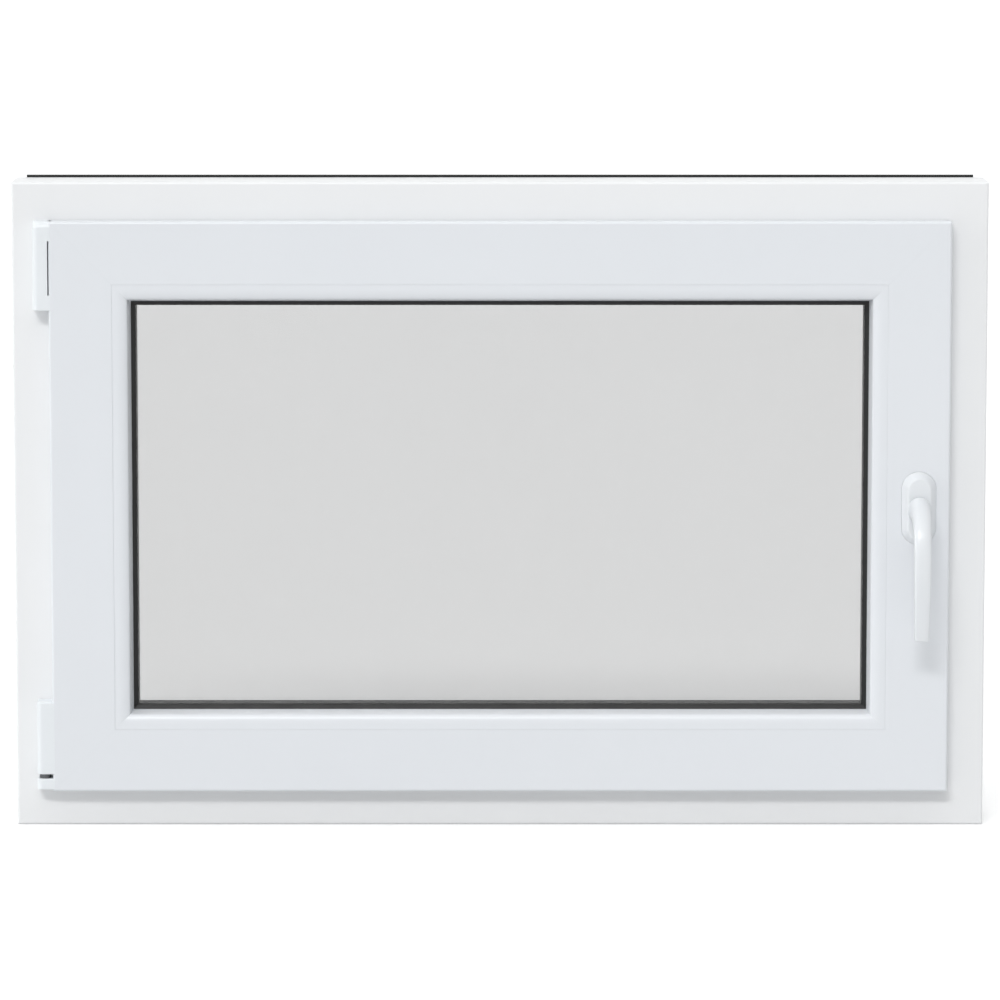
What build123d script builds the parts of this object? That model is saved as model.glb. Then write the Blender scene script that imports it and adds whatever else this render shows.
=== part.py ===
from build123d import *
from math import copysign, cos, pi, radians, sin
import os

os.makedirs("parts", exist_ok=True)

# Tilt and turn basement window of white PVC, seen from the room.
# Millimetres. +X is right, +Y is outwards, +Z is up.
# The sill's underside is z = 0, the frame's middle is x = 0 and half its depth is y = 0.

# Fixed outer frame
FRAME_WIDTH = 900.0
FRAME_HEIGHT = 600.0
FRAME_DEPTH = 70.0
FRAME_REBATE_RISE = 43.0
FRAME_STOP_RISE = 64.0
FRAME_STOP_THICKNESS = 17.0
FRAME_EDGE_RADIUS = 3.2

# Opening sash
SASH_MARGIN = 35.0
SASH_PROUD = 20.0
SASH_DEPTH = 70.0
SASH_LIP_WIDTH = 20.0
SASH_LIP_THICKNESS = 17.0
SASH_FACE_WIDTH = 58.0
SASH_LEG_THICKNESS = 20.0
SASH_EDGE_RADIUS = 2.4

# Glazing bead and glass
BEAD_WIDTH = 16.5
BEAD_SETBACK = 0.2
BEAD_DRAFT = 2.9
BEAD_NOSE_RADIUS = 4.0
BEAD_TONGUE = 2.5
PANE_THICKNESS = 4.0
CAVITY_WIDTH = 16.0
GLASS_EDGE_GAP = 5.0
GASKET_THICKNESS = 3.5
GASKET_LIP = 4.0

# Gasket grooves, how far in they start, and the feet that sit in them
GROOVE_WIDTH = 4.0
GROOVE_DEPTH = 3.0
FOOT_PLAY = 0.1
STOP_GROOVE_INSET = 7.0
LIP_GROOVE = 4.0
GLAZING_GROOVE = 8.0
GLAZING_HEEL = 6.0
GASKET_LIP_THICKNESS = 1.4
BEAD_CLIP_DEPTH = 3.4

# Clip grooves on the frame's outer edge
CLIP_WIDTH = 6.0
CLIP_DEPTH = 3.0
CLIP_OFFSET = 21.0

# Fittings groove on the sash's outer edge
FITTING_GROOVE_WIDTH = 16.0
FITTING_GROOVE_STEP = 3.0
FITTING_CHANNEL_WIDTH = 12.0
FITTING_CHANNEL_DEPTH = 12.0
FITTING_SETBACK = 7.0

# Seal on the head's rear edge
HEAD_SEAL_WIDTH = 4.0
HEAD_SEAL_HEIGHT = 2.4
HEAD_SEAL_INSET = 9.0

# Handle
HANDLE_INSET = 28.5
ROSE_WIDTH = 32.0
ROSE_HEIGHT = 68.0
ROSE_THICKNESS = 11.0
ROSE_BEVELS = (2.6, 1.2)
COLLAR_RADIUS = 8.0
COLLAR_CLEARANCE = 0.06
COLLAR_LENGTH = 8.0
LEVER_GAP = 0.3
LEVER_DROP = 115.0
LEVER_END = 1.2
LEVER_SIDES = 16
SPINDLE_SIDE = 7.0
SPINDLE_REACH = 32.0
SPINDLE_HOLE_RADIUS = 6.0

# Hinges on the left jamb
HINGE_WIDTH = 14.4
HINGE_CLEAR = 0.2
HINGE_CHAMFER = 0.9
HINGE_WALL = 1.6
BARREL_RADIUS = 5.4
PIN_RADIUS = 3.0
PIN_CLEARANCE = 0.05
STRAP_THICKNESS = 2.0
STRAP_LEG = 18.0
STRAP_GAP = 0.4
STRAP_MARGIN = 5.0
WEB_THICKNESS = 5.0
KNUCKLE_GAP = 0.3
STAY_BOTTOM = 483.0
STAY_TOP = 565.0
STAY_SLOT_BOTTOM = 497.0
STAY_SLOT_TOP = 547.0
STAY_MARGIN = 2.5
STAY_CROWN = 6.0
BAND_BOTTOM = 51.0
BAND_TOP = 118.5
BAND_CROWN = 1.5
BEARING_BOTTOM = 36.8
BEARING_TOP = 46.8
BEARING_CROWN = 1.0

# Drain caps on the weather side of the sill
DRAIN_CAP_LENGTH = 46.0
DRAIN_CAP_HEIGHT = 15.0
DRAIN_CAP_DEPTH = 5.0
DRAIN_CAP_CORNER = 3.0
DRAIN_CAP_DRAFT = 18.0
DRAIN_MOUTH_WIDTH = 32.0
DRAIN_MOUTH_DEPTH = 3.0
DRAIN_SLOT_LENGTH = 28.0
DRAIN_SLOT_WIDTH = 5.0
DRAIN_SLOT_DEPTH = 8.0
DRAIN_CAP_SPACING = 500.0
DRAIN_CAP_RISE = 22.0

# Planes and sizes that follow from the driving dimensions
FRAME_FRONT = -FRAME_DEPTH / 2
FRAME_REAR = FRAME_DEPTH / 2
STOP_FACE = FRAME_REAR - FRAME_STOP_THICKNESS
STOP_GROOVE = FRAME_STOP_RISE - STOP_GROOVE_INSET
SASH_FRONT = FRAME_FRONT - SASH_PROUD
SASH_REAR = SASH_FRONT + SASH_DEPTH
SASH_WIDTH = FRAME_WIDTH - 2 * SASH_MARGIN
SASH_HEIGHT = FRAME_HEIGHT - 2 * SASH_MARGIN
LIP_REAR = SASH_FRONT + SASH_LIP_THICKNESS
LEG_FACE = SASH_REAR - SASH_LEG_THICKNESS
SEAT_WIDTH = SASH_WIDTH - 2 * SASH_FACE_WIDTH
SEAT_HEIGHT = SASH_HEIGHT - 2 * SASH_FACE_WIDTH
OUTER_PANE_REAR = LEG_FACE - GASKET_THICKNESS
OUTER_PANE_FRONT = OUTER_PANE_REAR - PANE_THICKNESS
INNER_PANE_REAR = OUTER_PANE_FRONT - CAVITY_WIDTH
INNER_PANE_FRONT = INNER_PANE_REAR - PANE_THICKNESS
BEAD_FRONT = SASH_FRONT + BEAD_SETBACK
BEAD_REAR = INNER_PANE_FRONT - GASKET_THICKNESS
BEAD_CLIP_FRONT = BEAD_FRONT + BEAD_CLIP_DEPTH
MIDDLE_HEIGHT = FRAME_HEIGHT / 2
HANDLE_X = SASH_WIDTH / 2 - HANDLE_INSET
HINGE_RIGHT = -SASH_WIDTH / 2 - HINGE_CLEAR
HINGE_LEFT = HINGE_RIGHT - HINGE_WIDTH
HINGE_X = (HINGE_LEFT + HINGE_RIGHT) / 2
HINGE_FRONT = SASH_FRONT
HINGE_Y = HINGE_FRONT + HINGE_WALL + BARREL_RADIUS + FOOT_PLAY
STAY_KNUCKLE = (STAY_SLOT_BOTTOM + 2, STAY_SLOT_TOP - 2)
BAND_STRAP = (BAND_BOTTOM + STRAP_MARGIN, BAND_TOP - STRAP_MARGIN)

# Turn about Y that carries a bottom bar to each side of its ring
SIDES = {"bottom": 0, "left": 90, "top": 180, "right": 270}


def section(*corners):
    """Face of a profile. A corner is (distance inwards, depth) with an optional rounding radius."""
    points = [corner[:2] for corner in corners]
    radii = [corner[2] if len(corner) > 2 else 0 for corner in corners]
    return make_face(FilletPolyline(*points, radius=radii, close=True))


def box_between(low, high):
    """Box from its lowest to its highest corner."""
    size = [b - a for a, b in zip(low, high)]
    centre = [(a + b) / 2 for a, b in zip(low, high)]
    return Pos(*centre) * Box(*size)


def mitred_bar(profile, width, height, side):
    """One bar of a ring of the given outer size, cut at 45 degrees at both ends."""
    upright = side in ("left", "right")
    length, reach = (height, width / 2) if upright else (width, height / 2)
    start = Plane(origin=(length / 2, 0, -reach), x_dir=(0, 0, 1), z_dir=(-1, 0, 0))
    bar = extrude(start * profile, length)
    outside, inside = -BEAD_TONGUE, profile.bounding_box().max.X + 1
    mitre = make_face(Polyline(
        (outside - length / 2, outside - reach),
        (length / 2 - outside, outside - reach),
        (length / 2 - inside, inside - reach),
        (inside - length / 2, inside - reach),
        close=True,
    ))
    bar = bar & extrude(Plane.XZ * mitre, FRAME_DEPTH, both=True)
    return Pos(0, 0, MIDDLE_HEIGHT) * Rot(0, SIDES[side], 0) * bar


def mitred_ring(profile, width, height):
    """Four mitred bars joined into one ring."""
    bars = [mitred_bar(profile, width, height, side) for side in SIDES]
    return bars[0] + bars[1:]


def frame_profile():
    """Outer frame: clip grooves outside, rebate towards the sash, stop leg on the weather side."""
    return section(
        (0, FRAME_FRONT, FRAME_EDGE_RADIUS),
        (FRAME_REBATE_RISE, FRAME_FRONT, 1.5),
        (FRAME_REBATE_RISE, STOP_FACE),
        (STOP_GROOVE, STOP_FACE),
        (STOP_GROOVE, STOP_FACE + GROOVE_DEPTH),
        (STOP_GROOVE + GROOVE_WIDTH, STOP_FACE + GROOVE_DEPTH),
        (STOP_GROOVE + GROOVE_WIDTH, STOP_FACE),
        (FRAME_STOP_RISE, STOP_FACE, 1),
        (FRAME_STOP_RISE, FRAME_REAR - 6, 1.5),
        (FRAME_STOP_RISE - 4, FRAME_REAR, 1),
        (0, FRAME_REAR, 1),
        *clip_groove(CLIP_OFFSET),
        *clip_groove(-CLIP_OFFSET),
    )


def clip_groove(middle):
    """Corners of one groove in the frame's outer edge, met from the weather side."""
    near, far = middle + CLIP_WIDTH / 2, middle - CLIP_WIDTH / 2
    return (0, near), (CLIP_DEPTH, near), (CLIP_DEPTH, far), (0, far)


def sash_profile():
    """Sash: overlapping lip, bead seat, glazing leg and the groove for the fittings."""
    clip = SASH_FACE_WIDTH - GROOVE_DEPTH
    leg_groove = SASH_FACE_WIDTH + GLAZING_GROOVE
    leg_rise = SASH_FACE_WIDTH + BEAD_WIDTH
    fitting_rear = LEG_FACE + FITTING_SETBACK
    fitting_front = fitting_rear - FITTING_GROOVE_WIDTH
    inset = (FITTING_GROOVE_WIDTH - FITTING_CHANNEL_WIDTH) / 2
    step = SASH_LIP_WIDTH + FITTING_GROOVE_STEP
    channel = SASH_LIP_WIDTH + FITTING_CHANNEL_DEPTH
    return section(
        (0, SASH_FRONT, SASH_EDGE_RADIUS),
        (SASH_FACE_WIDTH, SASH_FRONT, 0.6),
        (SASH_FACE_WIDTH, BEAD_CLIP_FRONT),
        (clip, BEAD_CLIP_FRONT),
        (clip, BEAD_CLIP_FRONT + GROOVE_DEPTH),
        (SASH_FACE_WIDTH, BEAD_CLIP_FRONT + GROOVE_DEPTH),
        (SASH_FACE_WIDTH, LEG_FACE),
        (leg_groove, LEG_FACE),
        (leg_groove, LEG_FACE + GROOVE_DEPTH),
        (leg_groove + GROOVE_WIDTH, LEG_FACE + GROOVE_DEPTH),
        (leg_groove + GROOVE_WIDTH, LEG_FACE),
        (leg_rise, LEG_FACE, 0.8),
        (leg_rise, SASH_REAR - 7, 2),
        (leg_rise - 4.5, SASH_REAR, 1.5),
        (SASH_LIP_WIDTH, SASH_REAR, 1.5),
        (SASH_LIP_WIDTH, fitting_rear),
        (step, fitting_rear),
        (step, fitting_rear - inset),
        (channel, fitting_rear - inset),
        (channel, fitting_front + inset),
        (step, fitting_front + inset),
        (step, fitting_front),
        (SASH_LIP_WIDTH, fitting_front),
        (SASH_LIP_WIDTH, LIP_REAR),
        (LIP_GROOVE + GROOVE_WIDTH, LIP_REAR),
        (LIP_GROOVE + GROOVE_WIDTH, LIP_REAR - GROOVE_DEPTH),
        (LIP_GROOVE, LIP_REAR - GROOVE_DEPTH),
        (LIP_GROOVE, LIP_REAR),
        (0, LIP_REAR, 1),
    )


def bead_profile():
    """Glazing bead: flat face, round nose, drafted wall, gasket groove and clip tongue."""
    tongue_front = BEAD_CLIP_FRONT + FOOT_PLAY
    tongue_rear = BEAD_CLIP_FRONT + GROOVE_DEPTH - FOOT_PLAY
    return section(
        (0, BEAD_FRONT, 0.5),
        (BEAD_WIDTH - BEAD_DRAFT, BEAD_FRONT, BEAD_NOSE_RADIUS),
        (BEAD_WIDTH, BEAD_REAR, 0.5),
        (GLAZING_GROOVE + GROOVE_WIDTH, BEAD_REAR),
        (GLAZING_GROOVE + GROOVE_WIDTH, BEAD_REAR - GROOVE_DEPTH),
        (GLAZING_GROOVE, BEAD_REAR - GROOVE_DEPTH),
        (GLAZING_GROOVE, BEAD_REAR),
        (0, BEAD_REAR),
        (0, tongue_rear),
        (-BEAD_TONGUE, tongue_rear),
        (-BEAD_TONGUE, tongue_front),
        (0, tongue_front),
    )


def glazing_gasket_profile(back, glass):
    """Gasket pressed between a glass face and the bead or leg behind it, with a lip in view."""
    towards = 1 if back > glass else -1
    foot = back + towards * (GROOVE_DEPTH - FOOT_PLAY)
    near, far = GLAZING_GROOVE + FOOT_PLAY, GLAZING_GROOVE + GROOVE_WIDTH - FOOT_PLAY
    lip = BEAD_WIDTH + GASKET_LIP
    return section(
        (GLAZING_HEEL, glass),
        (lip, glass),
        (lip, glass + towards * GASKET_LIP_THICKNESS, 0.5),
        (BEAD_WIDTH, back),
        (far, back),
        (far, foot),
        (near, foot),
        (near, back),
        (GLAZING_HEEL, back),
    )


def sash_gasket_profile():
    """Seal in the sash lip that closes on the frame's room face."""
    foot = LIP_REAR - GROOVE_DEPTH + FOOT_PLAY
    near, far = LIP_GROOVE + FOOT_PLAY, LIP_GROOVE + GROOVE_WIDTH - FOOT_PLAY
    return section(
        (near, foot),
        (far, foot),
        (far, LIP_REAR),
        (far + 2.6, LIP_REAR),
        (far + 0.6, FRAME_FRONT, 1),
        (near + 1.4, FRAME_FRONT, 1),
        (near, LIP_REAR),
    )


def frame_gasket_profile():
    """Seal in the frame's stop that closes on the sash's weather face."""
    foot = STOP_FACE + GROOVE_DEPTH - FOOT_PLAY
    near, far = STOP_GROOVE + FOOT_PLAY, STOP_GROOVE + GROOVE_WIDTH - FOOT_PLAY
    return section(
        (near, foot),
        (near, STOP_FACE),
        (near - 1, SASH_REAR, 0.8),
        (far + 1, SASH_REAR, 0.8),
        (far, STOP_FACE),
        (far, foot),
    )


def spacer_profile():
    """Edge spacer and seal that hold the two panes apart."""
    return section(
        (GLASS_EDGE_GAP, INNER_PANE_REAR),
        (BEAD_WIDTH + GASKET_LIP, INNER_PANE_REAR),
        (BEAD_WIDTH + GASKET_LIP, OUTER_PANE_FRONT),
        (GLASS_EDGE_GAP, OUTER_PANE_FRONT),
    )


def pane(front, rear):
    """One sheet of glass between two depths."""
    half = SEAT_WIDTH / 2 - GLASS_EDGE_GAP
    rise = SEAT_HEIGHT / 2 - GLASS_EDGE_GAP
    return box_between(
        (-half, front, MIDDLE_HEIGHT - rise),
        (half, rear, MIDDLE_HEIGHT + rise),
    )


def head_seal():
    """Soft strip along the rear edge of the head, short of its corners."""
    reach = FRAME_WIDTH / 2 - HEAD_SEAL_INSET
    strip = box_between(
        (-reach, FRAME_REAR - HEAD_SEAL_WIDTH, FRAME_HEIGHT),
        (reach, FRAME_REAR, FRAME_HEIGHT + HEAD_SEAL_HEIGHT),
    )
    return fillet(strip.edges().filter_by(Axis.X).group_by(Axis.Z)[-1], 1)


def handle_rose():
    """Long rounded plate on the sash with a round bearing for the lever's collar."""
    plate = Plane(origin=(HANDLE_X, SASH_FRONT, MIDDLE_HEIGHT), x_dir=(1, 0, 0), z_dir=(0, -1, 0))
    outline = SlotOverall(ROSE_HEIGHT, ROSE_WIDTH, rotation=90)
    rose = extrude(plate * outline, ROSE_THICKNESS)
    for bevel in ROSE_BEVELS:
        rose = chamfer(rose.faces().sort_by(Axis.Y)[0].edges(), bevel)
    bearing = Cylinder(COLLAR_RADIUS + COLLAR_CLEARANCE, 2 * ROSE_THICKNESS)
    return rose - plate * bearing


def lever_section(reach, drop, turn, width, thickness, squareness):
    """Section of the lever, a 16-sided superellipse, reach out from the sash and drop below the spindle.

    turn goes from 0, where the lever points at the room, to 90, where it points down.
    """
    towards = (0, -cos(radians(turn)), -sin(radians(turn)))
    corners = []
    for corner in range(LEVER_SIDES):
        angle = 2 * pi * (corner + 0.5) / LEVER_SIDES
        across = copysign(abs(cos(angle)) ** (2 / squareness), cos(angle))
        through = copysign(abs(sin(angle)) ** (2 / squareness), sin(angle))
        corners.append((across * width / 2, through * thickness / 2))
    middle = (HANDLE_X, SASH_FRONT - reach, MIDDLE_HEIGHT - drop)
    return Plane(origin=middle, x_dir=(1, 0, 0), z_dir=towards) * make_face(Polyline(*corners, close=True))


def handle_lever():
    """Lever that leaves the rose, bends down and tapers along a bowed grip to its tip."""
    foot = ROSE_THICKNESS + LEVER_GAP
    bend = [
        lever_section(foot, 0, 0, 21.5, 23.5, 2),
        lever_section(foot + 9, 0.5, 8, 19, 20, 2.1),
        lever_section(foot + 19, 3.5, 27, 17.8, 17, 2.3),
        lever_section(foot + 28.5, 10, 48, 17, 14.6, 2.5),
        lever_section(foot + 35.5, 20, 65, 16.4, 12.8, 2.8),
        lever_section(foot + 39.8, 34, 79, 16, 11.8, 3),
    ]
    grip = [
        lever_section(foot + 41.3, 50, 88, 15.8, 11.3, 3),
        lever_section(foot + 41, 66, 93, 15.5, 11, 3),
        lever_section(foot + 39.6, 82, 96, 15, 10.7, 3),
        lever_section(foot + 37.5, 98, 98.5, 14.4, 10.4, 3),
        lever_section(foot + 34.8, LEVER_DROP, 100, 13.6, 10, 3),
    ]
    end = lever_section(foot + 34.6, LEVER_DROP + LEVER_END, 100, 11.6, 8, 3)
    lever = loft(bend + grip) + loft([grip[-1], end], ruled=True)
    bearing = Plane(origin=(HANDLE_X, SASH_FRONT - foot, MIDDLE_HEIGHT), x_dir=(1, 0, 0), z_dir=(0, 1, 0))
    return lever + extrude(bearing * Circle(COLLAR_RADIUS), COLLAR_LENGTH)


def handle_spindle():
    """Square bar from the lever's collar into the sash."""
    start = SASH_FRONT - ROSE_THICKNESS - LEVER_GAP + COLLAR_LENGTH
    end = start + SPINDLE_REACH
    half = SPINDLE_SIDE / 2
    bar = box_between(
        (HANDLE_X - half, start, MIDDLE_HEIGHT - half),
        (HANDLE_X + half, end, MIDDLE_HEIGHT + half),
    )
    return chamfer(bar.edges().filter_by(Axis.Y), 0.5)


def spindle_hole():
    """Blind hole in the sash for the spindle."""
    hole = Plane(origin=(HANDLE_X, SASH_FRONT, MIDDLE_HEIGHT), x_dir=(1, 0, 0), z_dir=(0, 1, 0))
    return extrude(hole * Circle(SPINDLE_HOLE_RADIUS), SPINDLE_REACH)


def upright_cylinder(radius, bottom, top):
    """Cylinder on the hinge axis between two heights."""
    start = Plane(origin=(HINGE_X, HINGE_Y, bottom))
    return extrude(start * Circle(radius), top - bottom)


def hinge_shell(bottom, top, rear, crown):
    """Thin cover, open at the back, with soft front edges and a crown rounded towards the room."""
    cover = box_between((HINGE_LEFT, HINGE_FRONT, bottom), (HINGE_RIGHT, rear, top))
    crown_edge = cover.faces().sort_by(Axis.Z)[-1].edges().sort_by(Axis.Y)[0]
    cover = fillet(crown_edge, crown)
    outer_edge = cover.edges().filter_by(Axis.Z).group_by(Axis.Y)[0].sort_by(Axis.X)[0]
    cover = chamfer(outer_edge, HINGE_CHAMFER)
    hollow = box_between(
        (HINGE_LEFT + HINGE_WALL, HINGE_FRONT + HINGE_WALL, bottom + HINGE_WALL),
        (HINGE_RIGHT - HINGE_WALL, rear + 1, top - HINGE_WALL),
    )
    return cover - hollow


def frame_bearing(bottom, top):
    """Plate on the frame with a web out to a barrel on the hinge axis."""
    plate = box_between(
        (HINGE_LEFT + 2, FRAME_FRONT - 3, bottom),
        (HINGE_RIGHT - 2, FRAME_FRONT, top),
    )
    half_web = WEB_THICKNESS / 2
    web = box_between((HINGE_X - half_web, HINGE_Y, bottom), (HINGE_X + half_web, FRAME_FRONT - 2, top))
    return plate + web + upright_cylinder(BARREL_RADIUS, bottom, top)


def sash_strap(bottom, top):
    """Knuckle with a strap that runs behind the sash lip and down the sash's outer edge."""
    rear = FRAME_FRONT - STRAP_GAP
    front = rear - STRAP_THICKNESS
    body_face = -SASH_WIDTH / 2 + SASH_LIP_WIDTH
    half_web = WEB_THICKNESS / 2
    plate = box_between((HINGE_X - half_web, front, bottom), (body_face, rear, top))
    leg = box_between((body_face - STRAP_THICKNESS, front, bottom), (body_face, rear + STRAP_LEG, top))
    web = box_between((HINGE_X - half_web, HINGE_Y, bottom), (HINGE_X + half_web, rear, top))
    return plate + leg + web + upright_cylinder(BARREL_RADIUS, bottom, top)


def pin_hole(bottom, top):
    """Bore for a hinge pin with its running clearance."""
    return upright_cylinder(PIN_RADIUS + PIN_CLEARANCE, bottom, top)


def strap_relief(bottom, top):
    """Space that a strap takes through a cover's side wall and past the lip gasket."""
    return box_between(
        (HINGE_X, FRAME_FRONT - 2 * STRAP_GAP - STRAP_THICKNESS, bottom - STRAP_GAP),
        (-SASH_WIDTH / 2 + SASH_LIP_WIDTH, FRAME_FRONT + STRAP_GAP, top + STRAP_GAP),
    )


def drain_cap(x):
    """Hooded cap over a drain slot, open below."""
    face = Plane(origin=(x, FRAME_REAR, DRAIN_CAP_RISE), x_dir=(-1, 0, 0), z_dir=(0, 1, 0))
    outline = RectangleRounded(DRAIN_CAP_LENGTH, DRAIN_CAP_HEIGHT, DRAIN_CAP_CORNER)
    cap = extrude(face * outline, DRAIN_CAP_DEPTH, taper=DRAIN_CAP_DRAFT)
    mouth = box_between(
        (x - DRAIN_MOUTH_WIDTH / 2, FRAME_REAR - 1, DRAIN_CAP_RISE - DRAIN_CAP_HEIGHT),
        (x + DRAIN_MOUTH_WIDTH / 2, FRAME_REAR + DRAIN_MOUTH_DEPTH, DRAIN_CAP_RISE + 2),
    )
    return cap - mouth


def drain_slot(x):
    """Slot in the sill's weather face behind a drain cap."""
    face = Plane(origin=(x, FRAME_REAR, DRAIN_CAP_RISE - 2), x_dir=(-1, 0, 0), z_dir=(0, -1, 0))
    return extrude(face * SlotOverall(DRAIN_SLOT_LENGTH, DRAIN_SLOT_WIDTH), DRAIN_SLOT_DEPTH)


def build_frame(parts):
    """Four bars of the outer frame, its stop gasket, head seal and drain caps."""
    names = {"bottom": "frame_sill", "top": "frame_head", "left": "frame_jamb_left",
             "right": "frame_jamb_right"}
    profile = frame_profile()
    for side, name in names.items():
        parts[name] = mitred_bar(profile, FRAME_WIDTH, FRAME_HEIGHT, side)
    for label, x in (("left", -DRAIN_CAP_SPACING / 2), ("right", DRAIN_CAP_SPACING / 2)):
        parts["frame_sill"] -= drain_slot(x)
        parts["drain_cap_" + label] = drain_cap(x)
    parts["frame_gasket"] = mitred_ring(frame_gasket_profile(), FRAME_WIDTH, FRAME_HEIGHT)
    parts["head_seal"] = head_seal()


def build_sash(parts):
    """Four bars of the sash and the gasket in its lip."""
    names = {"bottom": "sash_bottom_rail", "top": "sash_top_rail",
             "left": "sash_hinge_stile", "right": "sash_handle_stile"}
    profile = sash_profile()
    for side, name in names.items():
        parts[name] = mitred_bar(profile, SASH_WIDTH, SASH_HEIGHT, side)
    parts["sash_handle_stile"] -= spindle_hole()
    gasket = mitred_ring(sash_gasket_profile(), SASH_WIDTH, SASH_HEIGHT)
    gasket -= strap_relief(*STAY_KNUCKLE)
    gasket -= strap_relief(*BAND_STRAP)
    parts["sash_gasket"] = gasket


def build_glazing(parts):
    """Beads, gaskets, two panes and the spacer between them."""
    profile = bead_profile()
    for side in SIDES:
        parts["bead_" + side] = mitred_bar(profile, SEAT_WIDTH, SEAT_HEIGHT, side)
    inner = glazing_gasket_profile(BEAD_REAR, INNER_PANE_FRONT)
    outer = glazing_gasket_profile(LEG_FACE, OUTER_PANE_REAR)
    parts["glazing_gasket_inner"] = mitred_ring(inner, SEAT_WIDTH, SEAT_HEIGHT)
    parts["glazing_gasket_outer"] = mitred_ring(outer, SEAT_WIDTH, SEAT_HEIGHT)
    parts["pane_inner"] = pane(INNER_PANE_FRONT, INNER_PANE_REAR)
    parts["pane_outer"] = pane(OUTER_PANE_FRONT, OUTER_PANE_REAR)
    parts["glass_spacer"] = mitred_ring(spacer_profile(), SEAT_WIDTH, SEAT_HEIGHT)


def build_stay_hinge(parts):
    """Upper hinge: frame bearing in two halves, stay knuckle between them, pin and cover."""
    low, high = STAY_BOTTOM + STAY_MARGIN, STAY_TOP - STAY_MARGIN
    knuckle_low, knuckle_high = STAY_KNUCKLE
    bearing = frame_bearing(low, high)
    bearing -= box_between(
        (HINGE_LEFT, HINGE_FRONT, knuckle_low - KNUCKLE_GAP),
        (HINGE_RIGHT + 2, FRAME_FRONT - KNUCKLE_GAP, knuckle_high + KNUCKLE_GAP),
    )
    parts["stay_bearing"] = bearing - pin_hole(low, high)
    parts["stay_arm"] = sash_strap(knuckle_low, knuckle_high) - pin_hole(low, high)
    parts["stay_pin"] = upright_cylinder(PIN_RADIUS, low, high + 0.7)
    slot = box_between(
        (HINGE_RIGHT - HINGE_WALL - 0.5, HINGE_FRONT - 1, STAY_SLOT_BOTTOM),
        (HINGE_RIGHT + 1, FRAME_FRONT + 1, STAY_SLOT_TOP),
    )
    parts["stay_cover"] = hinge_shell(STAY_BOTTOM, STAY_TOP, FRAME_FRONT, STAY_CROWN) - slot


def build_corner_hinge(parts):
    """Lower hinge: bearing on the frame, band on the sash's corner, pin and two covers."""
    band_low = BEARING_TOP + 0.2
    strap = sash_strap(*BAND_STRAP)
    knuckle = upright_cylinder(BARREL_RADIUS, band_low, BAND_TOP - 2)
    pin_low, pin_high = BEARING_BOTTOM + 4, BAND_TOP - 6
    parts["corner_band"] = strap + knuckle - pin_hole(band_low, pin_high + 0.5)
    parts["corner_pin"] = upright_cylinder(PIN_RADIUS, pin_low, pin_high)
    bearing = frame_bearing(BEARING_BOTTOM + HINGE_WALL, BEARING_TOP)
    parts["corner_bearing"] = bearing - pin_hole(pin_low, BEARING_TOP)
    cover = hinge_shell(BAND_BOTTOM, BAND_TOP, FRAME_FRONT - KNUCKLE_GAP, BAND_CROWN)
    cover -= strap_relief(*BAND_STRAP)
    cover -= upright_cylinder(BARREL_RADIUS + FOOT_PLAY, BAND_BOTTOM - 1, BAND_BOTTOM + STRAP_MARGIN)
    parts["corner_band_cover"] = cover
    cap = hinge_shell(BEARING_BOTTOM, BEARING_TOP, FRAME_FRONT, BEARING_CROWN)
    cap -= box_between(
        (HINGE_LEFT + HINGE_WALL, HINGE_FRONT + HINGE_WALL, BEARING_TOP - 3),
        (HINGE_RIGHT - HINGE_WALL, FRAME_FRONT + 1, BEARING_TOP + 1),
    )
    parts["corner_bearing_cap"] = cap


def build_handle(parts):
    """Rose on the sash, lever and the spindle that turns with it."""
    parts["handle_rose"] = handle_rose()
    parts["handle_lever"] = handle_lever()
    parts["handle_spindle"] = handle_spindle()


def main():
    """Build every sub-part and write one file for each."""
    parts = {}
    build_frame(parts)
    build_sash(parts)
    build_glazing(parts)
    build_stay_hinge(parts)
    build_corner_hinge(parts)
    build_handle(parts)
    for name, part in parts.items():
        part.label = name
        export_step(part, f"parts/{name}.step")
    return parts


parts = main()
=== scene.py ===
import math

import bpy
import bmesh
from mathutils import Matrix, Vector


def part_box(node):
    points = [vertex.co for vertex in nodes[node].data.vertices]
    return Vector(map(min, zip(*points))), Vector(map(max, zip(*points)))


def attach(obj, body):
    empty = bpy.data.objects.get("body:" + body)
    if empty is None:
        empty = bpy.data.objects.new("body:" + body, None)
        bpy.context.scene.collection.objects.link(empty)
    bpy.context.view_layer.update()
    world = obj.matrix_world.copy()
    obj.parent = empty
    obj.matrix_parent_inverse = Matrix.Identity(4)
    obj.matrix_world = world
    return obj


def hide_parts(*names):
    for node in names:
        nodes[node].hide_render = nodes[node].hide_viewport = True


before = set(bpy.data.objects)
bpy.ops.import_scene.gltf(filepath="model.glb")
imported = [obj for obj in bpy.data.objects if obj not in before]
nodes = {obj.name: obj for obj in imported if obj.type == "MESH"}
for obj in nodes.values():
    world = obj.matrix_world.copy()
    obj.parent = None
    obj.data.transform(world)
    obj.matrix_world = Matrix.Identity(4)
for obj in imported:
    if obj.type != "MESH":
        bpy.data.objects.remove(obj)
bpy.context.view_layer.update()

# Metres in the scene; profiles and fittings are drawn in millimetres.
# +X is right, +Y is outwards, +Z is up, and the room is at -Y.
MM = 0.001
# Turn about Y, in degrees, that carries a bottom bar to each side of its ring
SIDES = {"bottom": 0, "left": 90, "top": 180, "right": 270}


def corners(*names):
    """Lowest and highest corner of some CAD nodes together, in mm."""
    boxes = [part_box(name) for name in names]
    low = Vector([min(box[0][axis] for box in boxes) / MM for axis in range(3)])
    high = Vector([max(box[1][axis] for box in boxes) / MM for axis in range(3)])
    return low, high


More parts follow.
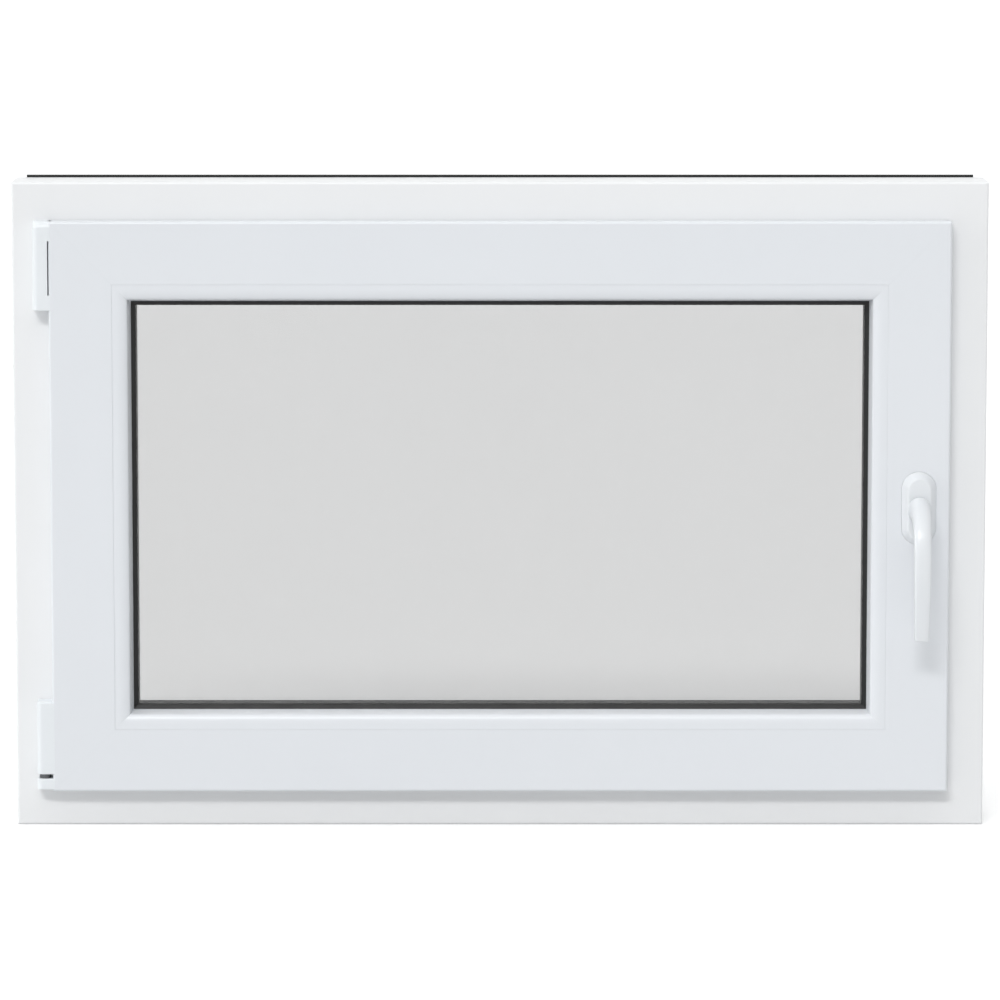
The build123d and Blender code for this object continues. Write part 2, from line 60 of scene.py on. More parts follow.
FRAME_BARS = {
    "bottom": "frame_sill", "left": "frame_jamb_left",
    "top": "frame_head", "right": "frame_jamb_right",
}
SASH_BARS = {
    "bottom": "sash_bottom_rail", "left": "sash_hinge_stile",
    "top": "sash_top_rail", "right": "sash_handle_stile",
}
BEAD_BARS = {side: "bead_" + side for side in SIDES}
FRAME_LOW, FRAME_HIGH = corners(*FRAME_BARS.values())
SASH_LOW, SASH_HIGH = corners(*SASH_BARS.values())
BEAD_LOW, BEAD_HIGH = corners(*BEAD_BARS.values())
ROSE_LOW, ROSE_HIGH = corners("handle_rose")
FRAME_FRONT, FRAME_REAR = FRAME_LOW.y, FRAME_HIGH.y
SASH_FRONT, SASH_REAR = SASH_LOW.y, SASH_HIGH.y
MIDDLE_HEIGHT = (FRAME_LOW.z + FRAME_HIGH.z) / 2
AXIS_X = (ROSE_LOW.x + ROSE_HIGH.x) / 2
AXIS_Z = (ROSE_LOW.z + ROSE_HIGH.z) / 2


# Materials

# Pairs of 0 to 255 display colours
GLASS_TONES = ((224, 224, 224), (225, 225, 225))
FRAME_TONES = ((232, 233, 234), (233, 234, 235))
SASH_TONES = ((222, 225, 229), (223, 226, 230))
CAP_TONES = ((226, 230, 233), (227, 231, 234))
# Lever and rose are one white lacquer in two copies: the lever's tones are set darker as painted shade,
# the rose's lighter as painted light
LEVER_TONES_PAINTED_SHADE = ((222, 225, 228), (223, 226, 229))
ROSE_TONES_PAINTED_LIGHT = ((223, 226, 229), (224, 227, 230))
RUBBER_TONES = ((13, 14, 14), (19, 20, 20))
SPACER_TONES = ((10, 11, 11), (15, 16, 16))
# Zinc tones are far darker than bright zinc plate: the metal's own dull grey with painted shade, so the
# gaps between the hinge covers read black
ZINC_TONES_WITH_GAP_SHADE = ((84, 86, 88), (98, 100, 102))
# Range that a noise texture mostly fills
NOISE_LOW, NOISE_HIGH = 0.3, 0.7
CLOUD_DETAIL = 3
GRAIN_DETAIL = 2
GRAIN_STRENGTH = 0.3
COAT_ROUGHNESS = 0.25
GLASS_IOR = 1.5
GLASS_CLOUD_SCALE = 1.6
GLASS_CLOUD_DETAIL = 1
# Share of the lamps' light that passes each face of a pane
GLASS_SHADE = (0.8, 0.8, 0.8, 1)


def new_material(name):
    """Empty node material with its node tree and output node."""
    material = bpy.data.materials.new(name)
    material.use_nodes = True
    material.node_tree.nodes.clear()
    return material, material.node_tree, material.node_tree.nodes.new("ShaderNodeOutputMaterial")


def linear(red, green, blue):
    """Colour for a shader from 0 to 255 display values."""
    parts = []
    for value in (red, green, blue):
        share = value / 255
        parts.append(share / 12.92 if share <= 0.04045 else ((share + 0.055) / 1.055) ** 2.4)
    return (*parts, 1)


def noise(tree, scale, detail):
    """Noise in object space."""
    place = tree.nodes.new("ShaderNodeTexCoord")
    texture = tree.nodes.new("ShaderNodeTexNoise")
    texture.inputs["Scale"].default_value = scale
    texture.inputs["Detail"].default_value = detail
    tree.links.new(place.outputs["Object"], texture.inputs["Vector"])
    return texture.outputs["Fac"]


def spread(tree, value, low, high):
    """Noise value moved from its usual range to low..high."""
    reach = tree.nodes.new("ShaderNodeMapRange")
    reach.inputs["From Min"].default_value = NOISE_LOW
    reach.inputs["From Max"].default_value = NOISE_HIGH
    reach.inputs["To Min"].default_value = low
    reach.inputs["To Max"].default_value = high
    tree.links.new(value, reach.inputs["Value"])
    return reach.outputs["Result"]


def two_tone(tree, value, first, second):
    """Colour that wanders between two close tones."""
    ramp = tree.nodes.new("ShaderNodeValToRGB")
    ramp.color_ramp.elements[0].position = NOISE_LOW
    ramp.color_ramp.elements[0].color = linear(*first)
    ramp.color_ramp.elements[1].position = NOISE_HIGH
    ramp.color_ramp.elements[1].color = linear(*second)
    tree.links.new(value, ramp.inputs["Fac"])
    return ramp.outputs["Color"]


def moulded(name, tones, roughness, grain, height, metallic=0.0, coat=0.0, specular=0.5, cloud_scale=9):
    """Plastic, rubber or metal: two close tones, uneven gloss and a fine grain of a height in mm."""
    material, tree, output = new_material(name)
    shader = tree.nodes.new("ShaderNodeBsdfPrincipled")
    shader.inputs["Metallic"].default_value = metallic
    shader.inputs["Specular IOR Level"].default_value = specular
    shader.inputs["Coat Weight"].default_value = coat
    shader.inputs["Coat Roughness"].default_value = COAT_ROUGHNESS
    cloud = noise(tree, cloud_scale, CLOUD_DETAIL)
    tree.links.new(two_tone(tree, cloud, *tones), shader.inputs["Base Color"])
    tree.links.new(spread(tree, cloud, *roughness), shader.inputs["Roughness"])
    bump = tree.nodes.new("ShaderNodeBump")
    bump.inputs["Strength"].default_value = GRAIN_STRENGTH
    bump.inputs["Distance"].default_value = height * MM
    tree.links.new(noise(tree, grain, GRAIN_DETAIL), bump.inputs["Height"])
    tree.links.new(bump.outputs["Normal"], shader.inputs["Normal"])
    tree.links.new(shader.outputs["BSDF"], output.inputs["Surface"])
    return material


def glazing_glass():
    """Grey tinted float glass that lets the lamps through."""
    material, tree, output = new_material("grey_float_glass")
    shader = tree.nodes.new("ShaderNodeBsdfPrincipled")
    shader.inputs["Transmission Weight"].default_value = 1
    shader.inputs["IOR"].default_value = GLASS_IOR
    shader.inputs["Roughness"].default_value = 0
    cloud = noise(tree, GLASS_CLOUD_SCALE, GLASS_CLOUD_DETAIL)
    tree.links.new(two_tone(tree, cloud, *GLASS_TONES), shader.inputs["Base Color"])
    through = tree.nodes.new("ShaderNodeBsdfTransparent")
    through.inputs["Color"].default_value = GLASS_SHADE
    path = tree.nodes.new("ShaderNodeLightPath")
    mix = tree.nodes.new("ShaderNodeMixShader")
    tree.links.new(path.outputs["Is Shadow Ray"], mix.inputs["Fac"])
    tree.links.new(shader.outputs["BSDF"], mix.inputs[1])
    tree.links.new(through.outputs["BSDF"], mix.inputs[2])
    tree.links.new(mix.outputs["Shader"], output.inputs["Surface"])
    return material


frame_pvc = moulded("frame_pvc", FRAME_TONES, roughness=(0.3, 0.35), grain=1400, height=0.012)
sash_pvc = moulded("sash_pvc", SASH_TONES, roughness=(0.28, 0.33), grain=1400, height=0.012)
cap_plastic = moulded("cap_plastic", CAP_TONES, roughness=(0.34, 0.4), grain=2200, height=0.015)
# Two copies of one white lacquer: painted shade on the lever, painted light on the rose
lever_lacquer_painted_shade = moulded(
    "lever_lacquer_painted_shade", LEVER_TONES_PAINTED_SHADE, roughness=(0.28, 0.33), grain=1500, height=0.008, coat=0.15,
)
rose_lacquer_painted_light = moulded(
    "rose_lacquer_painted_light", ROSE_TONES_PAINTED_LIGHT, roughness=(0.3, 0.35), grain=1500, height=0.008, coat=0.15,
)
rubber = moulded(
    "black_rubber", RUBBER_TONES, roughness=(0.4, 0.5), grain=1800, height=0.03,
    specular=0.35, cloud_scale=60,
)
spacer = moulded(
    "black_spacer", SPACER_TONES, roughness=(0.5, 0.62), grain=1800, height=0.03, cloud_scale=60,
)
# Dull zinc darkened with painted shade, so the hinge parts read black in the gaps
zinc_with_gap_shade = moulded(
    "zinc_plated_steel_with_gap_shade", ZINC_TONES_WITH_GAP_SHADE, roughness=(0.36, 0.48), grain=1200, height=0.02,
    metallic=1.0, cloud_scale=120,
)
glass = glazing_glass()

FINISHES = {
    frame_pvc: FRAME_BARS.values(),
    sash_pvc: (*SASH_BARS.values(), *BEAD_BARS.values()),
    rubber: ("frame_gasket", "sash_gasket", "glazing_gasket_inner", "glazing_gasket_outer", "head_seal"),
    spacer: ("glass_spacer",),
    zinc_with_gap_shade: (
        "stay_bearing", "stay_arm", "stay_pin", "corner_band", "corner_pin", "corner_bearing",
        "handle_spindle",
    ),
    glass: ("pane_inner", "pane_outer"),
    cap_plastic: (
        "stay_cover", "corner_band_cover", "corner_bearing_cap", "drain_cap_left", "drain_cap_right",
    ),
    lever_lacquer_painted_shade: ("handle_lever",),
    rose_lacquer_painted_light: ("handle_rose",),
}
for material, names in FINISHES.items():
    for name in names:
        for material_slot in nodes[name].material_slots:
            material_slot.material = material


# Mesh helpers

ARC_STEPS = 8
# How far broad faces outweigh narrow ones in the shading; 50 is neutral
FACE_WEIGHT = 100
# Least angle, in degrees, of an edge that stays sharp
BAR_CREASE = 35
COVER_CREASE = 40
HANDLE_CREASE = 50


def mesh_piece(name, points, faces, material, body, replaced, crease):
    """Smooth shaded mesh, given in mm, that rides on a body and stands for a CAD node."""
    mesh = bpy.data.meshes.new(name)
    mesh.from_pydata([tuple(point * MM) for point in points], [], faces)
    shape = bmesh.new()
    shape.from_mesh(mesh)
    bmesh.ops.recalc_face_normals(shape, faces=shape.faces)
    shape.to_mesh(mesh)
    shape.free()
    mesh.shade_smooth()
    mesh.set_sharp_from_angle(angle=math.radians(crease))
    mesh.materials.append(material)
    piece = bpy.data.objects.new(name, mesh)
    bpy.context.scene.collection.objects.link(piece)
    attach(piece, body)
    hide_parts(replaced)
    return piece


def keep_faces_flat(piece):
    """Shades broad faces flat up to their rounded edges."""
    weigh = piece.modifiers.new("flat faces", "WEIGHTED_NORMAL")
    weigh.keep_sharp = True
    weigh.weight = FACE_WEIGHT


def skin(rings, closed=True):
    """Points and faces of a tube through rings of equal count, with both ends closed where asked."""
    count = len(rings[0])
    points = [point for ring in rings for point in ring]
    faces = []
    for level in range(len(rings) - 1):
        low, high = level * count, (level + 1) * count
        for step in range(count):
            after = (step + 1) % count
            faces.append((low + step, low + after, high + after, high + step))
    if closed:
        faces.append(tuple(range(count)))
        faces.append(tuple(range(len(points) - count, len(points))))
    return points, faces


def quarter_turn(steps=ARC_STEPS):
    """Angles from 0 to 90 degrees in equal steps."""
    return [math.radians(90 * step / steps) for step in range(steps + 1)]


def rounded(*outline_corners):
    """Closed outline of corners (across, deep), rounded by a radius or by a length along each side."""
    outline = []
    count = len(outline_corners)
    for index, (across, deep, *lengths) in enumerate(outline_corners):
        here = Vector((across, deep))
        if not lengths:
            outline.append(here)
            continue
        back = (Vector(outline_corners[index - 1][:2]) - here).normalized() * lengths[0]
        ahead = (Vector(outline_corners[(index + 1) % count][:2]) - here).normalized() * lengths[-1]
        for angle in quarter_turn():
            outline.append(here + back * (1 - math.sin(angle)) + ahead * (1 - math.cos(angle)))
    return outline


def shrunk(outline, depth):
    """Outline drawn inwards by a small depth."""
    count = len(outline)
    area = sum(outline[k - 1].x * outline[k].y - outline[k].x * outline[k - 1].y for k in range(count))
    moved = []
    for index, here in enumerate(outline):
        along = (outline[(index + 1) % count] - outline[index - 1]).normalized()
        moved.append(here + Vector((-along.y, along.x)) * math.copysign(depth, area))
    return moved


# Frame, sash and beads: widths run inwards from a ring's outer edge, depths along Y

# Fine grooves where mitred bars meet
WELD_WIDTH = 0.12
WELD_DEPTH = 0.08
BEAD_JOINT_WIDTH = 0.2

# Outer frame
REBATE_RISE = 43
STOP_RISE = 64
STOP_THICKNESS = 17
STOP_GROOVE = 57
STOP_BEVEL_WIDTH = 4
STOP_BEVEL_DEPTH = 6
CLIP_OFFSET = 21
CLIP_WIDTH = 6
CLIP_DEPTH = 3

# Sash
SASH_FACE_WIDTH = 58
LIP_WIDTH = 20
LIP_THICKNESS = 17
LIP_GROOVE = 4
LIP_SKIRT_WIDTH = 3
LIP_SKIRT_DEPTH = 2.5
LEG_THICKNESS = 20
LEG_BEVEL_WIDTH = 4.5
LEG_BEVEL_DEPTH = 7
TONGUE_SETBACK = 3.6
FITTINGS_SETBACK = 7
FITTINGS_WIDTH = 16
FITTINGS_DEPTH = 12
FITTINGS_STEP_WIDTH = 2
FITTINGS_STEP_DEPTH = 3

# Glazing bead
BEAD_WIDTH = 16.5
BEAD_DRAFT = 2.9
BEAD_NOSE_WIDTH = 9.0
BEAD_NOSE_DEPTH = 4.0
BEAD_TONGUE = 2.5

# Gasket grooves of the frame, sash and beads
GLAZING_GROOVE = 8
GROOVE_WIDTH = 4
GROOVE_DEPTH = 3

# Rounding of the edges
FACE_EDGE = 2.4
LEG_BEVEL_EDGE = 2
SOFT_EDGE = 1.5
STOP_BEVEL_EDGE = 1.2
SMALL_EDGE = 1
LEG_EDGE = 0.8
BEAD_FOOT_EDGE = 0.5
FINE_EDGE = 0.4
BEAD_JOINT_EDGE = 0.35
REBATE_CORNER = 0.3
BEAD_SEAT_EDGE = 0.15


def mitred_bar(name, outline, size, side, material, seam=WELD_WIDTH):
    """Bar of a ring, mitred at both ends, with a fine groove where it meets the next bar."""
    upright = side in ("left", "right")
    length, reach = (size[1], size[0] / 2) if upright else (size[0], size[1] / 2)
    turn = Matrix.Rotation(math.radians(SIDES[side]), 3, "Y")
    inner = shrunk(outline, WELD_DEPTH)
    rings = []
    for end, back, line in ((-1, 0, inner), (-1, seam, outline), (1, seam, outline), (1, 0, inner)):
        ring = []
        for point in line:
            place = Vector((end * (length / 2 - point.x - back), point.y, point.x - reach))
            ring.append(turn @ place + Vector((0, 0, MIDDLE_HEIGHT)))
        rings.append(ring)
    points, faces = skin(rings)
    keep_faces_flat(mesh_piece(
        name + "_bar", points, faces, material, "window", name, BAR_CREASE,
    ))


def groove(first, last, face, depth):
    """Corners of a square groove between two widths, cut into a face by a depth."""
    return (first, face), (first, face + depth), (last, face + depth), (last, face)


def clip_groove(middle):
    """Corners of one groove in the frame's outer edge, met from the weather side."""
    rear, front = middle + CLIP_WIDTH / 2, middle - CLIP_WIDTH / 2
    return (0, rear, FINE_EDGE), (CLIP_DEPTH, rear), (CLIP_DEPTH, front), (0, front, FINE_EDGE)


def fittings_groove(rear):
    """Corners of the stepped groove in the sash's outer edge, met from the weather side."""
    front = rear - FITTINGS_WIDTH
    step, channel = LIP_WIDTH + FITTINGS_STEP_DEPTH, LIP_WIDTH + FITTINGS_DEPTH
    return (
        (LIP_WIDTH, rear), (step, rear),
        (step, rear - FITTINGS_STEP_WIDTH), (channel, rear - FITTINGS_STEP_WIDTH),
        (channel, front + FITTINGS_STEP_WIDTH), (step, front + FITTINGS_STEP_WIDTH),
        (step, front), (LIP_WIDTH, front),
    )


def frame_outline():
    """Outer frame: clip grooves outside, rebate towards the sash, stop leg on the weather side."""
    front, rear, stop = FRAME_FRONT, FRAME_REAR, FRAME_REAR - STOP_THICKNESS
    return rounded(
        (0, front, FACE_EDGE),
        (REBATE_RISE, front, SOFT_EDGE),
        (REBATE_RISE, stop, REBATE_CORNER),
        *groove(STOP_GROOVE, STOP_GROOVE + GROOVE_WIDTH, stop, GROOVE_DEPTH),
        (STOP_RISE, stop, SMALL_EDGE),
        (STOP_RISE, rear - STOP_BEVEL_DEPTH, SOFT_EDGE),
        (STOP_RISE - STOP_BEVEL_WIDTH, rear, STOP_BEVEL_EDGE),
        (0, rear, SMALL_EDGE),
        *clip_groove(CLIP_OFFSET),
        *clip_groove(-CLIP_OFFSET),
    )


def sash_outline():
    """Sash: overlapping lip, bead seat, glazing leg and the groove for the fittings."""
    front, rear, lip, leg = SASH_FRONT, SASH_REAR, SASH_FRONT + LIP_THICKNESS, SASH_REAR - LEG_THICKNESS
    seat, leg_rise = SASH_FACE_WIDTH, SASH_FACE_WIDTH + BEAD_WIDTH
    glazing_groove = seat + GLAZING_GROOVE
    tongue_front = front + TONGUE_SETBACK
    tongue_rear = tongue_front + GROOVE_DEPTH
    return rounded(
        (0, front, FACE_EDGE),
        (seat, front, BEAD_SEAT_EDGE),
        (seat, tongue_front),
        (seat - GROOVE_DEPTH, tongue_front),
        (seat - GROOVE_DEPTH, tongue_rear),
        (seat, tongue_rear),
        (seat, leg),
        *groove(glazing_groove, glazing_groove + GROOVE_WIDTH, leg, GROOVE_DEPTH),
        (leg_rise, leg, LEG_EDGE),
        (leg_rise, rear - LEG_BEVEL_DEPTH, LEG_BEVEL_EDGE),
        (leg_rise - LEG_BEVEL_WIDTH, rear, SOFT_EDGE),
        (LIP_WIDTH, rear, SOFT_EDGE),
        *fittings_groove(leg + FITTINGS_SETBACK),
        (LIP_WIDTH, lip),
        *groove(LIP_GROOVE + GROOVE_WIDTH, LIP_GROOVE, lip, -GROOVE_DEPTH),
        (LIP_SKIRT_WIDTH, lip + LIP_SKIRT_DEPTH, FINE_EDGE),
        (0, lip + LIP_SKIRT_DEPTH, FINE_EDGE),
    )


def bead_outline():
    """Glazing bead: flat face, round nose, drafted wall and gasket groove."""
    front, rear = BEAD_LOW.y, BEAD_HIGH.y
    return rounded(
        (0, front, BEAD_JOINT_EDGE),
        (BEAD_WIDTH - BEAD_DRAFT, front, BEAD_NOSE_WIDTH, BEAD_NOSE_DEPTH),
        (BEAD_WIDTH, rear, BEAD_FOOT_EDGE),
        *groove(GLAZING_GROOVE + GROOVE_WIDTH, GLAZING_GROOVE, rear, -GROOVE_DEPTH),
        (0, rear),
    )


frame_size = (FRAME_HIGH.x - FRAME_LOW.x, FRAME_HIGH.z - FRAME_LOW.z)
sash_size = (SASH_HIGH.x - SASH_LOW.x, SASH_HIGH.z - SASH_LOW.z)
seat_size = (BEAD_HIGH.x - BEAD_LOW.x - 2 * BEAD_TONGUE, BEAD_HIGH.z - BEAD_LOW.z - 2 * BEAD_TONGUE)
for side in SIDES:
    mitred_bar(FRAME_BARS[side], frame_outline(), frame_size, side, frame_pvc)
    mitred_bar(SASH_BARS[side], sash_outline(), sash_size, side, sash_pvc)
    mitred_bar(BEAD_BARS[side], bead_outline(), seat_size, side, sash_pvc, BEAD_JOINT_WIDTH)


# Hinge covers

COVER_OUTER_RADIUS = 5.0
COVER_INNER_RADIUS = 0.25
COVER_OVERLAP = 1.8
COVER_FOOT_RADIUS = 0.6
STAY_CROWN = 6
BAND_CROWN = 1.2
BEARING_CROWN = 0.8
SLOT_WIDTH = 0.8
SLOT_HEIGHTS = (497, 547)


def cover_ring(low, high, height, inset, cut=0):
    """Level section of a cover: a broad round towards the jamb and a small one beside the sash."""
    left, right, front = low.x + min(inset, COVER_FOOT_RADIUS), high.x - cut, low.y + inset
    line = rounded(
        (left, front, COVER_OUTER_RADIUS),
        (right, front, COVER_INNER_RADIUS),
        (right, high.y),
        (left, high.y),
    )
    return [Vector((point.x, point.y, height)) for point in line]


def hinge_cover(node, crown, slot_heights=()):
    """Cover over a hinge, its top edge rounded by the crown, with a slot beside the sash where asked."""
    low, high = corners(node)
    high.x = SASH_LOW.x + COVER_OVERLAP
    rings = []
    for angle in quarter_turn():
        rise = COVER_FOOT_RADIUS * (1 - math.cos(angle))
        inset = COVER_FOOT_RADIUS * (1 - math.sin(angle))
        rings.append(cover_ring(low, high, low.z + rise, inset))
    # Two sections at each end of the slot step the cover's side in and out again.
    notch = COVER_OVERLAP + SLOT_WIDTH
    for height, cuts in zip(slot_heights, ((0, notch), (notch, 0))):
        rings += [cover_ring(low, high, height, 0, cut) for cut in cuts]
    for angle in quarter_turn():
        drop = crown * (1 - math.sin(angle))
        inset = crown * (1 - math.cos(angle))
        rings.append(cover_ring(low, high, high.z - drop, inset))
    points, faces = skin(rings)
    keep_faces_flat(mesh_piece(
        node + "_soft", points, faces, cap_plastic, "window", node, COVER_CREASE,
    ))


hinge_cover("stay_cover", STAY_CROWN, SLOT_HEIGHTS)
hinge_cover("corner_band_cover", BAND_CROWN)
hinge_cover("corner_bearing_cap", BEARING_CROWN)


# Handle

LEVER_FOOT = 11.3
LEVER_FOOT_INSET = 0.7
LEVER_FOOT_PLACE = 0.05
LEVER_RINGS = 96
LEVER_TIP_ROUND = 1.9
LEVER_TIP_LENGTH = 1.2
LEVER_TIP_STEPS = 6
COLLAR_RADIUS = 8
COLLAR_LENGTH = 8
ROSE_DOME = 6.8
ROSE_RISE = 9.0
ROSE_ARC = 32
ROSE_STEPS = 20
ROSE_BORE = 8.2
MERGE_DISTANCE = 0.001
# Angles of the points round the lever and its collar
LEVER_POINTS = 48
LEVER_ANGLES = [2 * math.pi * (step + 0.5) / LEVER_POINTS for step in range(LEVER_POINTS)]
# Reach from the rose, drop, turn from level to hanging, width, thickness, squareness
LEVER_STATIONS = (
    (0, 0, 0, 21.4, 23.4, 2),
    (9, 0.5, 8, 18.9, 19.9, 2.1),
    (19, 3.5, 27, 17.7, 16.9, 2.3),
    (28.5, 10, 48, 16.9, 14.5, 2.5),
    (35.5, 20, 65, 16.3, 12.7, 3),
    (39.8, 34, 79, 15.9, 11.6, 3.5),
    (41.2, 50, 88, 15.7, 11.1, 4),
    (40.9, 66, 93, 15.4, 10.9, 4.4),
    (39.5, 82, 96, 14.9, 10.6, 4.6),
    (37.4, 98, 98.5, 14.3, 10.3, 4.6),
    (34.8, 115, 100, 13.5, 9.9, 4.6),
)


def through(values, place):
    """Smooth value at a place along equally counted stations (Catmull-Rom)."""
    index = min(int(place), len(values) - 2)
    t = place - index
    before = values[max(index - 1, 0)]
    start, end = values[index], values[index + 1]
    after = values[min(index + 2, len(values) - 1)]
    return 0.5 * (
        2 * start + (end - before) * t
        + (2 * before - 5 * start + 4 * end - after) * t * t
        + (3 * start - before - 3 * end + after) * t * t * t
    )


def squared(value, squareness):
    """Sine or cosine of a circle, moved to that of a squarer outline."""
    return math.copysign(abs(value) ** (2 / squareness), value)


def lever_ring(place, shrink=0.0, onward=0.0):
    """Ring of the lever at a place along its stations, made smaller all round or moved onward."""
    reach, drop, turn, width, thickness, squareness = (
        through(values, place) for values in zip(*LEVER_STATIONS)
    )
    towards = Vector((0, -math.cos(math.radians(turn)), -math.sin(math.radians(turn))))
    depthwise = towards.cross(Vector((1, 0, 0)))
    middle = Vector((AXIS_X, SASH_FRONT - LEVER_FOOT - reach, AXIS_Z - drop)) + towards * onward
    ring = []
    for angle in LEVER_ANGLES:
        across = squared(math.cos(angle), squareness) * (width / 2 - shrink)
        deep = squared(math.sin(angle), squareness)
        ring.append(middle + Vector((across, 0, 0)) + depthwise * deep * (thickness / 2 - shrink))
    return ring


def collar_ring(y):
    """Circle of the collar about the handle's axis, in the order of the lever's rings."""
    ring = []
    for angle in LEVER_ANGLES:
        across, rise = COLLAR_RADIUS * math.cos(angle), COLLAR_RADIUS * math.sin(angle)
        ring.append(Vector((AXIS_X + across, y, AXIS_Z + rise)))
    return ring


def make_lever():
    """Bent lever with its collar behind the foot and a rounded tip."""
    foot_y = SASH_FRONT - LEVER_FOOT
    last = len(LEVER_STATIONS) - 1
    rings = [
        collar_ring(foot_y + COLLAR_LENGTH),
        collar_ring(foot_y),
        lever_ring(0, LEVER_FOOT_INSET),
        lever_ring(LEVER_FOOT_PLACE),
    ]
    rings += [lever_ring(last * step / LEVER_RINGS) for step in range(1, LEVER_RINGS + 1)]
    for angle in quarter_turn(LEVER_TIP_STEPS)[1:]:
        shrink = LEVER_TIP_ROUND * (1 - math.cos(angle))
        rings.append(lever_ring(last, shrink, LEVER_TIP_LENGTH * math.sin(angle)))
    points, faces = skin(rings)
    mesh_piece(
        "handle_lever_smooth", points, faces, lever_lacquer_painted_shade, "handle", "handle_lever",
        HANDLE_CREASE,
    )


def stadium(inset, y):
    """Upright stadium, the rose's outline drawn in by an inset, at a depth."""
    half_width = (ROSE_HIGH.x - ROSE_LOW.x) / 2
    straight = (ROSE_HIGH.z - ROSE_LOW.z) / 2 - half_width
    radius = half_width - inset
    ring = []
    for end, rise in ((0, straight), (1, -straight)):
        for step in range(ROSE_ARC + 1):
            angle = math.pi * (end + step / ROSE_ARC)
            x, z = AXIS_X + radius * math.cos(angle), AXIS_Z + rise + radius * math.sin(angle)
            ring.append(Vector((x, y, z)))
    return ring


def make_rose():
    """Long rose with a broad domed edge and a bore for the lever's collar."""
    rings = []
    for step in range(ROSE_STEPS + 1):
        share = step / ROSE_STEPS
        swell = (1 - math.cos(math.pi * share)) / 2
        quarter_round = math.sin(math.pi * share / 2)
        rings.append(stadium(ROSE_DOME * share, SASH_FRONT - ROSE_RISE * (swell + quarter_round) / 2))
    for y in (SASH_FRONT - ROSE_RISE, SASH_FRONT):
        ring = []
        for point in rings[-1]:
            way = Vector((point.x - AXIS_X, 0, point.z - AXIS_Z)).normalized()
            ring.append(Vector((AXIS_X, y, AXIS_Z)) + way * ROSE_BORE)
        rings.append(ring)
    # The last ring lies on the first, and their points are joined below.
    rings.append(rings[0])
    points, faces = skin(rings, closed=False)
    piece = mesh_piece(
        "handle_rose_domed", points, faces, rose_lacquer_painted_light, "window", "handle_rose",
        HANDLE_CREASE,
    )
    join = bmesh.new()
    join.from_mesh(piece.data)
    bmesh.ops.remove_doubles(join, verts=join.verts, dist=MERGE_DISTANCE * MM)
    join.to_mesh(piece.data)
    join.free()
    keep_faces_flat(piece)


make_lever()
make_rose()


# Floor, light and camera: lengths in metres, angles in degrees

FLOOR_REACH = 60
FLOOR_TONE = 0.8
FLOOR_GLOW = 0.3
# Strength of the soft light from level with the window and from straight above
SKY_LEVEL = 0.04
SKY_TOP = 1.2
SKY_COLOUR = (0.985, 0.995, 1.0, 1)
# Distant lamps: strength, size, elevation and turns to the left; the key is a level strip
LAMPS = {
    "key": (0.39, 9, 36, (5, 14, 23)),
    "side": (0.85, 30, 15, (83,)),
}
CAMERA_DISTANCE = 5.0
CAMERA_HEIGHT = 0.945
CAMERA_TILT = 6.87
CAMERA_RANGE = 200
# Focal length and shift in sensor widths, sensor in mm
CAMERA_FOCAL = 5.441
CAMERA_SHIFT = -0.04
SENSOR = 36


def sees_plainly(tree):
    """Rays that show the background: the camera's, and those seen in metal or through glass."""
    path = tree.nodes.new("ShaderNodeLightPath")
    total = path.outputs["Is Camera Ray"]
    for ray in ("Is Glossy Ray", "Is Transmission Ray"):
        larger = tree.nodes.new("ShaderNodeMath")
        larger.operation = "MAXIMUM"
        tree.links.new(total, larger.inputs[0])
        tree.links.new(path.outputs[ray], larger.inputs[1])
        total = larger.outputs["Value"]
    return total


def make_floor():
    """Wide pale floor that keeps the window's shadow."""
    material, tree, output = new_material("pale_floor")
    matt = tree.nodes.new("ShaderNodeBsdfDiffuse")
    matt.inputs["Color"].default_value = (FLOOR_TONE, FLOOR_TONE, FLOOR_TONE, 1)
    glow = tree.nodes.new("ShaderNodeEmission")
    share = tree.nodes.new("ShaderNodeMath")
    share.operation = "MULTIPLY"
    share.inputs[1].default_value = FLOOR_GLOW
    tree.links.new(sees_plainly(tree), share.inputs[0])
    tree.links.new(share.outputs["Value"], glow.inputs["Strength"])
    both = tree.nodes.new("ShaderNodeAddShader")
    tree.links.new(matt.outputs["BSDF"], both.inputs[0])
    tree.links.new(glow.outputs["Emission"], both.inputs[1])
    tree.links.new(both.outputs["Shader"], output.inputs["Surface"])
    square = ((-1, -1), (1, -1), (1, 1), (-1, 1))
    mesh = bpy.data.meshes.new("floor")
    mesh.from_pydata([(FLOOR_REACH * x, FLOOR_REACH * y, 0) for x, y in square], [], [(0, 1, 2, 3)])
    mesh.materials.append(material)
    floor = bpy.data.objects.new("floor", mesh)
    bpy.context.scene.collection.objects.link(floor)


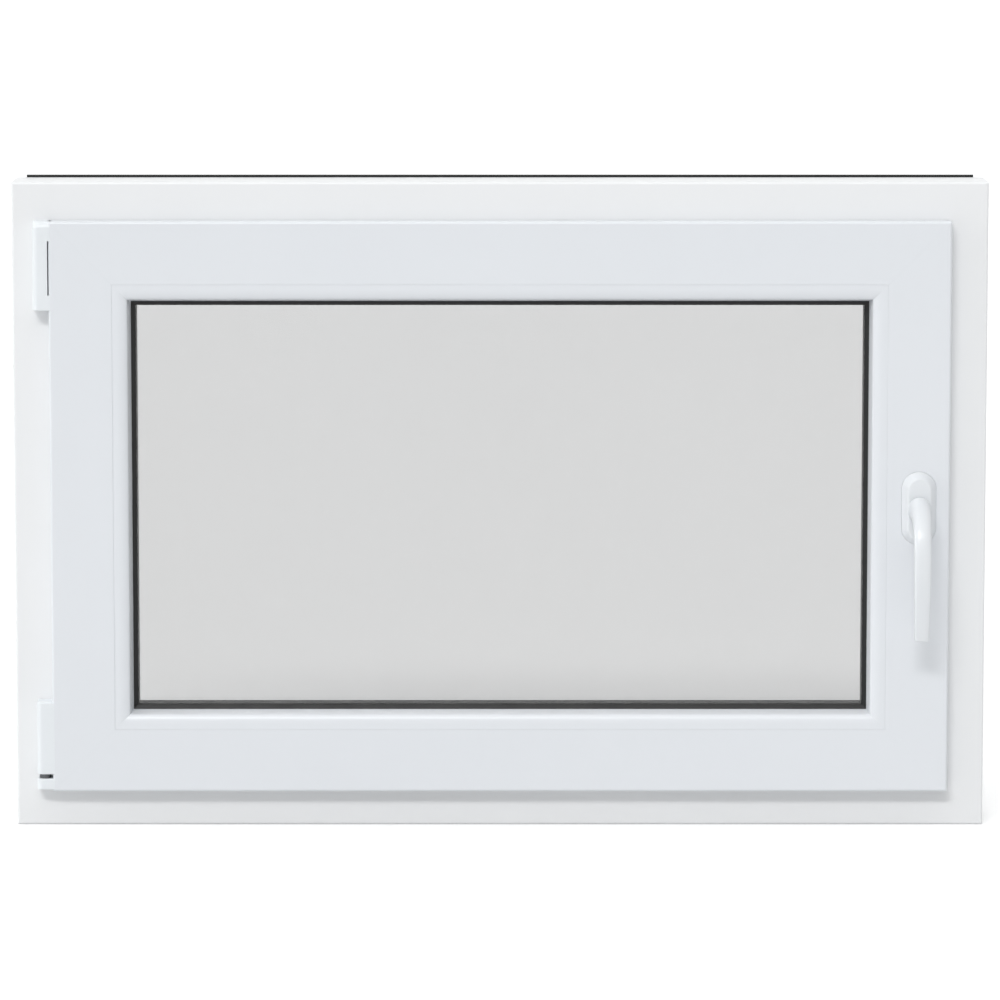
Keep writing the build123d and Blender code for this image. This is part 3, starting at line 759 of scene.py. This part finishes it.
def make_world():
    """Soft light that grows towards the zenith, with a plain white background where it is seen."""
    world = bpy.data.worlds.new("studio")
    world.use_nodes = True
    bpy.context.scene.world = world
    tree = world.node_tree
    tree.nodes.clear()
    output = tree.nodes.new("ShaderNodeOutputWorld")
    place = tree.nodes.new("ShaderNodeTexCoord")
    parts = tree.nodes.new("ShaderNodeSeparateXYZ")
    rise = tree.nodes.new("ShaderNodeMapRange")
    rise.inputs["To Min"].default_value = SKY_LEVEL
    rise.inputs["To Max"].default_value = SKY_TOP
    soft = tree.nodes.new("ShaderNodeBackground")
    soft.inputs["Color"].default_value = SKY_COLOUR
    tree.links.new(place.outputs["Generated"], parts.inputs["Vector"])
    tree.links.new(parts.outputs["Z"], rise.inputs["Value"])
    tree.links.new(rise.outputs["Result"], soft.inputs["Strength"])
    seen = tree.nodes.new("ShaderNodeBackground")
    seen.inputs["Color"].default_value = (1, 1, 1, 1)
    mix = tree.nodes.new("ShaderNodeMixShader")
    tree.links.new(sees_plainly(tree), mix.inputs["Fac"])
    tree.links.new(soft.outputs["Background"], mix.inputs[1])
    tree.links.new(seen.outputs["Background"], mix.inputs[2])
    tree.links.new(mix.outputs["Shader"], output.inputs["Surface"])


def make_lamp(name, strength, size, elevation, turns):
    """Distant lamp in front of the window, seen from it as a row of discs."""
    lamp = bpy.data.lights.new(name, "SUN")
    lamp.energy = strength
    lamp.angle = math.radians(size)
    for turn in turns:
        source = bpy.data.objects.new(name, lamp)
        up, side = math.radians(elevation), math.radians(turn)
        towards = Vector((-math.sin(side) * math.cos(up), -math.cos(side) * math.cos(up), math.sin(up)))
        source.rotation_euler = towards.to_track_quat("Z", "Y").to_euler()
        bpy.context.scene.collection.objects.link(source)


def make_camera():
    """Long lens in front of the window, above its top and looking slightly down."""
    data = bpy.data.cameras.new("camera")
    data.sensor_width = SENSOR
    data.lens = SENSOR * CAMERA_FOCAL
    data.shift_y = CAMERA_SHIFT
    data.clip_end = CAMERA_RANGE
    camera = bpy.data.objects.new("camera", data)
    camera.location = (0, FRAME_FRONT * MM - CAMERA_DISTANCE, CAMERA_HEIGHT)
    camera.rotation_euler = (math.radians(90 - CAMERA_TILT), 0, 0)
    bpy.context.scene.collection.objects.link(camera)
    bpy.context.scene.camera = camera


make_floor()
make_world()
for name, settings in LAMPS.items():
    make_lamp(name, *settings)
make_camera()
bpy.context.scene.view_settings.view_transform = "Standard"

bpy.context.view_layer.update()
